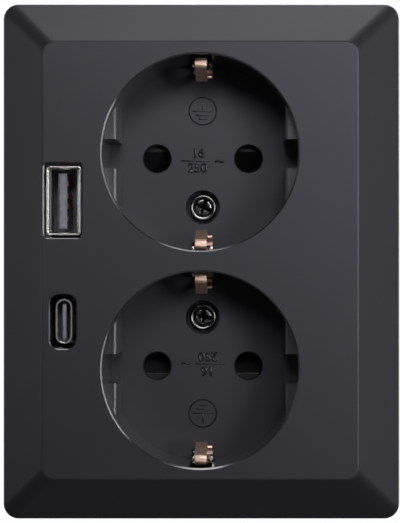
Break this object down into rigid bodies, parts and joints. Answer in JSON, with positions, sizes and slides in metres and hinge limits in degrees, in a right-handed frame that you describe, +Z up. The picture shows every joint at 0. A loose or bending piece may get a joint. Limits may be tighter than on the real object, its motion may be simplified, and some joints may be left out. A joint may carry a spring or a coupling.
{
  "type": "double wall socket with usb ports",
  "caption": "Flush wall socket with round side-earthed wells, shuttered pin holes and small charging ports in a bevelled plate.",
  "frame": {"origin": "middle of the two wall-screw slots, on the back face of the mounting plate, which lies on the wall", "axes": "+Z up along the plate's height, +Y into the wall, so the front faces -Y, and +X to the viewer's right"},
  "size_m": [0.08, 0.0408, 0.104],
  "materials": {
    "cover_plastic": "fine matt moulded black",
    "black_screw": "glossy black",
    "zinc_steel": "zinc plated",
    "zinc_screw": "bright zinc",
    "base_plastic": "light grey moulded",
    "carrier_plastic": "dark moulded",
    "shutter_plastic": "smooth black",
    "spring_steel": "spring steel",
    "contact_brass": "bare brass",
    "nickel_plate": "nickel plated",
    "earth_bronze": "bare phosphor bronze",
    "live_button_plastic": "brown",
    "neutral_button_plastic": "blue",
    "earth_button_plastic": "green",
    "port_shell": "nickel plated",
    "tongue_plastic": "light grey moulded",
    "gold_contact": "gold flashed",
    "circuit_board": "green solder mask",
    "ferrite": "sintered",
    "winding_tape": "yellow tape",
    "capacitor_sleeve": "shrunk sleeve",
    "fuse_ceramic": "glazed",
    "black_epoxy": "moulded"
  },
  "bodies": {
    "socket": {"front_cover": "cover_plastic", "cover_screw_upper": "black_screw", "cover_screw_lower": "black_screw", "mounting_plate": "zinc_steel", "base_screws": "zinc_screw", "socket_base": "base_plastic", "shutter_carrier": "carrier_plastic", "shutter_spring_upper": "spring_steel", "shutter_spring_lower": "spring_steel", "live_busbar": "contact_brass", "neutral_busbar": "contact_brass", "earth_bar": "nickel_plate", "earth_spring_upper_top": "earth_bronze", "earth_spring_upper_bottom": "earth_bronze", "earth_spring_lower_top": "earth_bronze", "earth_spring_lower_bottom": "earth_bronze", "live_clamp_springs": "spring_steel", "neutral_clamp_springs": "spring_steel", "earth_clamp_springs": "spring_steel", "usb_a_shell": "port_shell", "usb_a_tongue": "tongue_plastic", "usb_a_contacts": "gold_contact", "usb_c_shell": "port_shell", "usb_c_tongue": "tongue_plastic", "usb_c_contacts": "gold_contact", "charger_board": "circuit_board", "transformer_core": "ferrite", "transformer_winding": "winding_tape", "input_capacitors": "capacitor_sleeve", "output_capacitor": "capacitor_sleeve", "fuse": "fuse_ceramic", "rectifier": "black_epoxy", "controller_chip": "black_epoxy", "choke": "ferrite"},
    "upper_shutter": {"shutter_upper": "shutter_plastic"},
    "lower_shutter": {"shutter_lower": "shutter_plastic"},
    "live_release": {"release_button_live": "live_button_plastic"},
    "neutral_release": {"release_button_neutral": "neutral_button_plastic"},
    "earth_release": {"release_button_earth": "earth_button_plastic"}
  },
  "joints": [
    {"name": "upper_shutter_slide", "type": "slide", "parent": "socket", "child": "upper_shutter", "axis": [0, 0, 1], "range_m": [0, 0.006], "stiffness_N_per_m": 60, "springref_m": -0.002, "deforming": ["shutter_spring_upper"]},
    {"name": "lower_shutter_slide", "type": "slide", "parent": "socket", "child": "lower_shutter", "axis": [0, 0, -1], "range_m": [0, 0.006], "stiffness_N_per_m": 60, "springref_m": -0.002, "deforming": ["shutter_spring_lower"]},
    {"name": "live_release_press", "type": "slide", "parent": "socket", "child": "live_release", "axis": [0, -1, 0], "range_m": [0, 0.0012], "stiffness_N_per_m": 400},
    {"name": "neutral_release_press", "type": "slide", "parent": "socket", "child": "neutral_release", "axis": [0, -1, 0], "range_m": [0, 0.0012], "stiffness_N_per_m": 400},
    {"name": "earth_release_press", "type": "slide", "parent": "socket", "child": "earth_release", "axis": [0, -1, 0], "range_m": [0, 0.0012], "stiffness_N_per_m": 400}
  ]
}
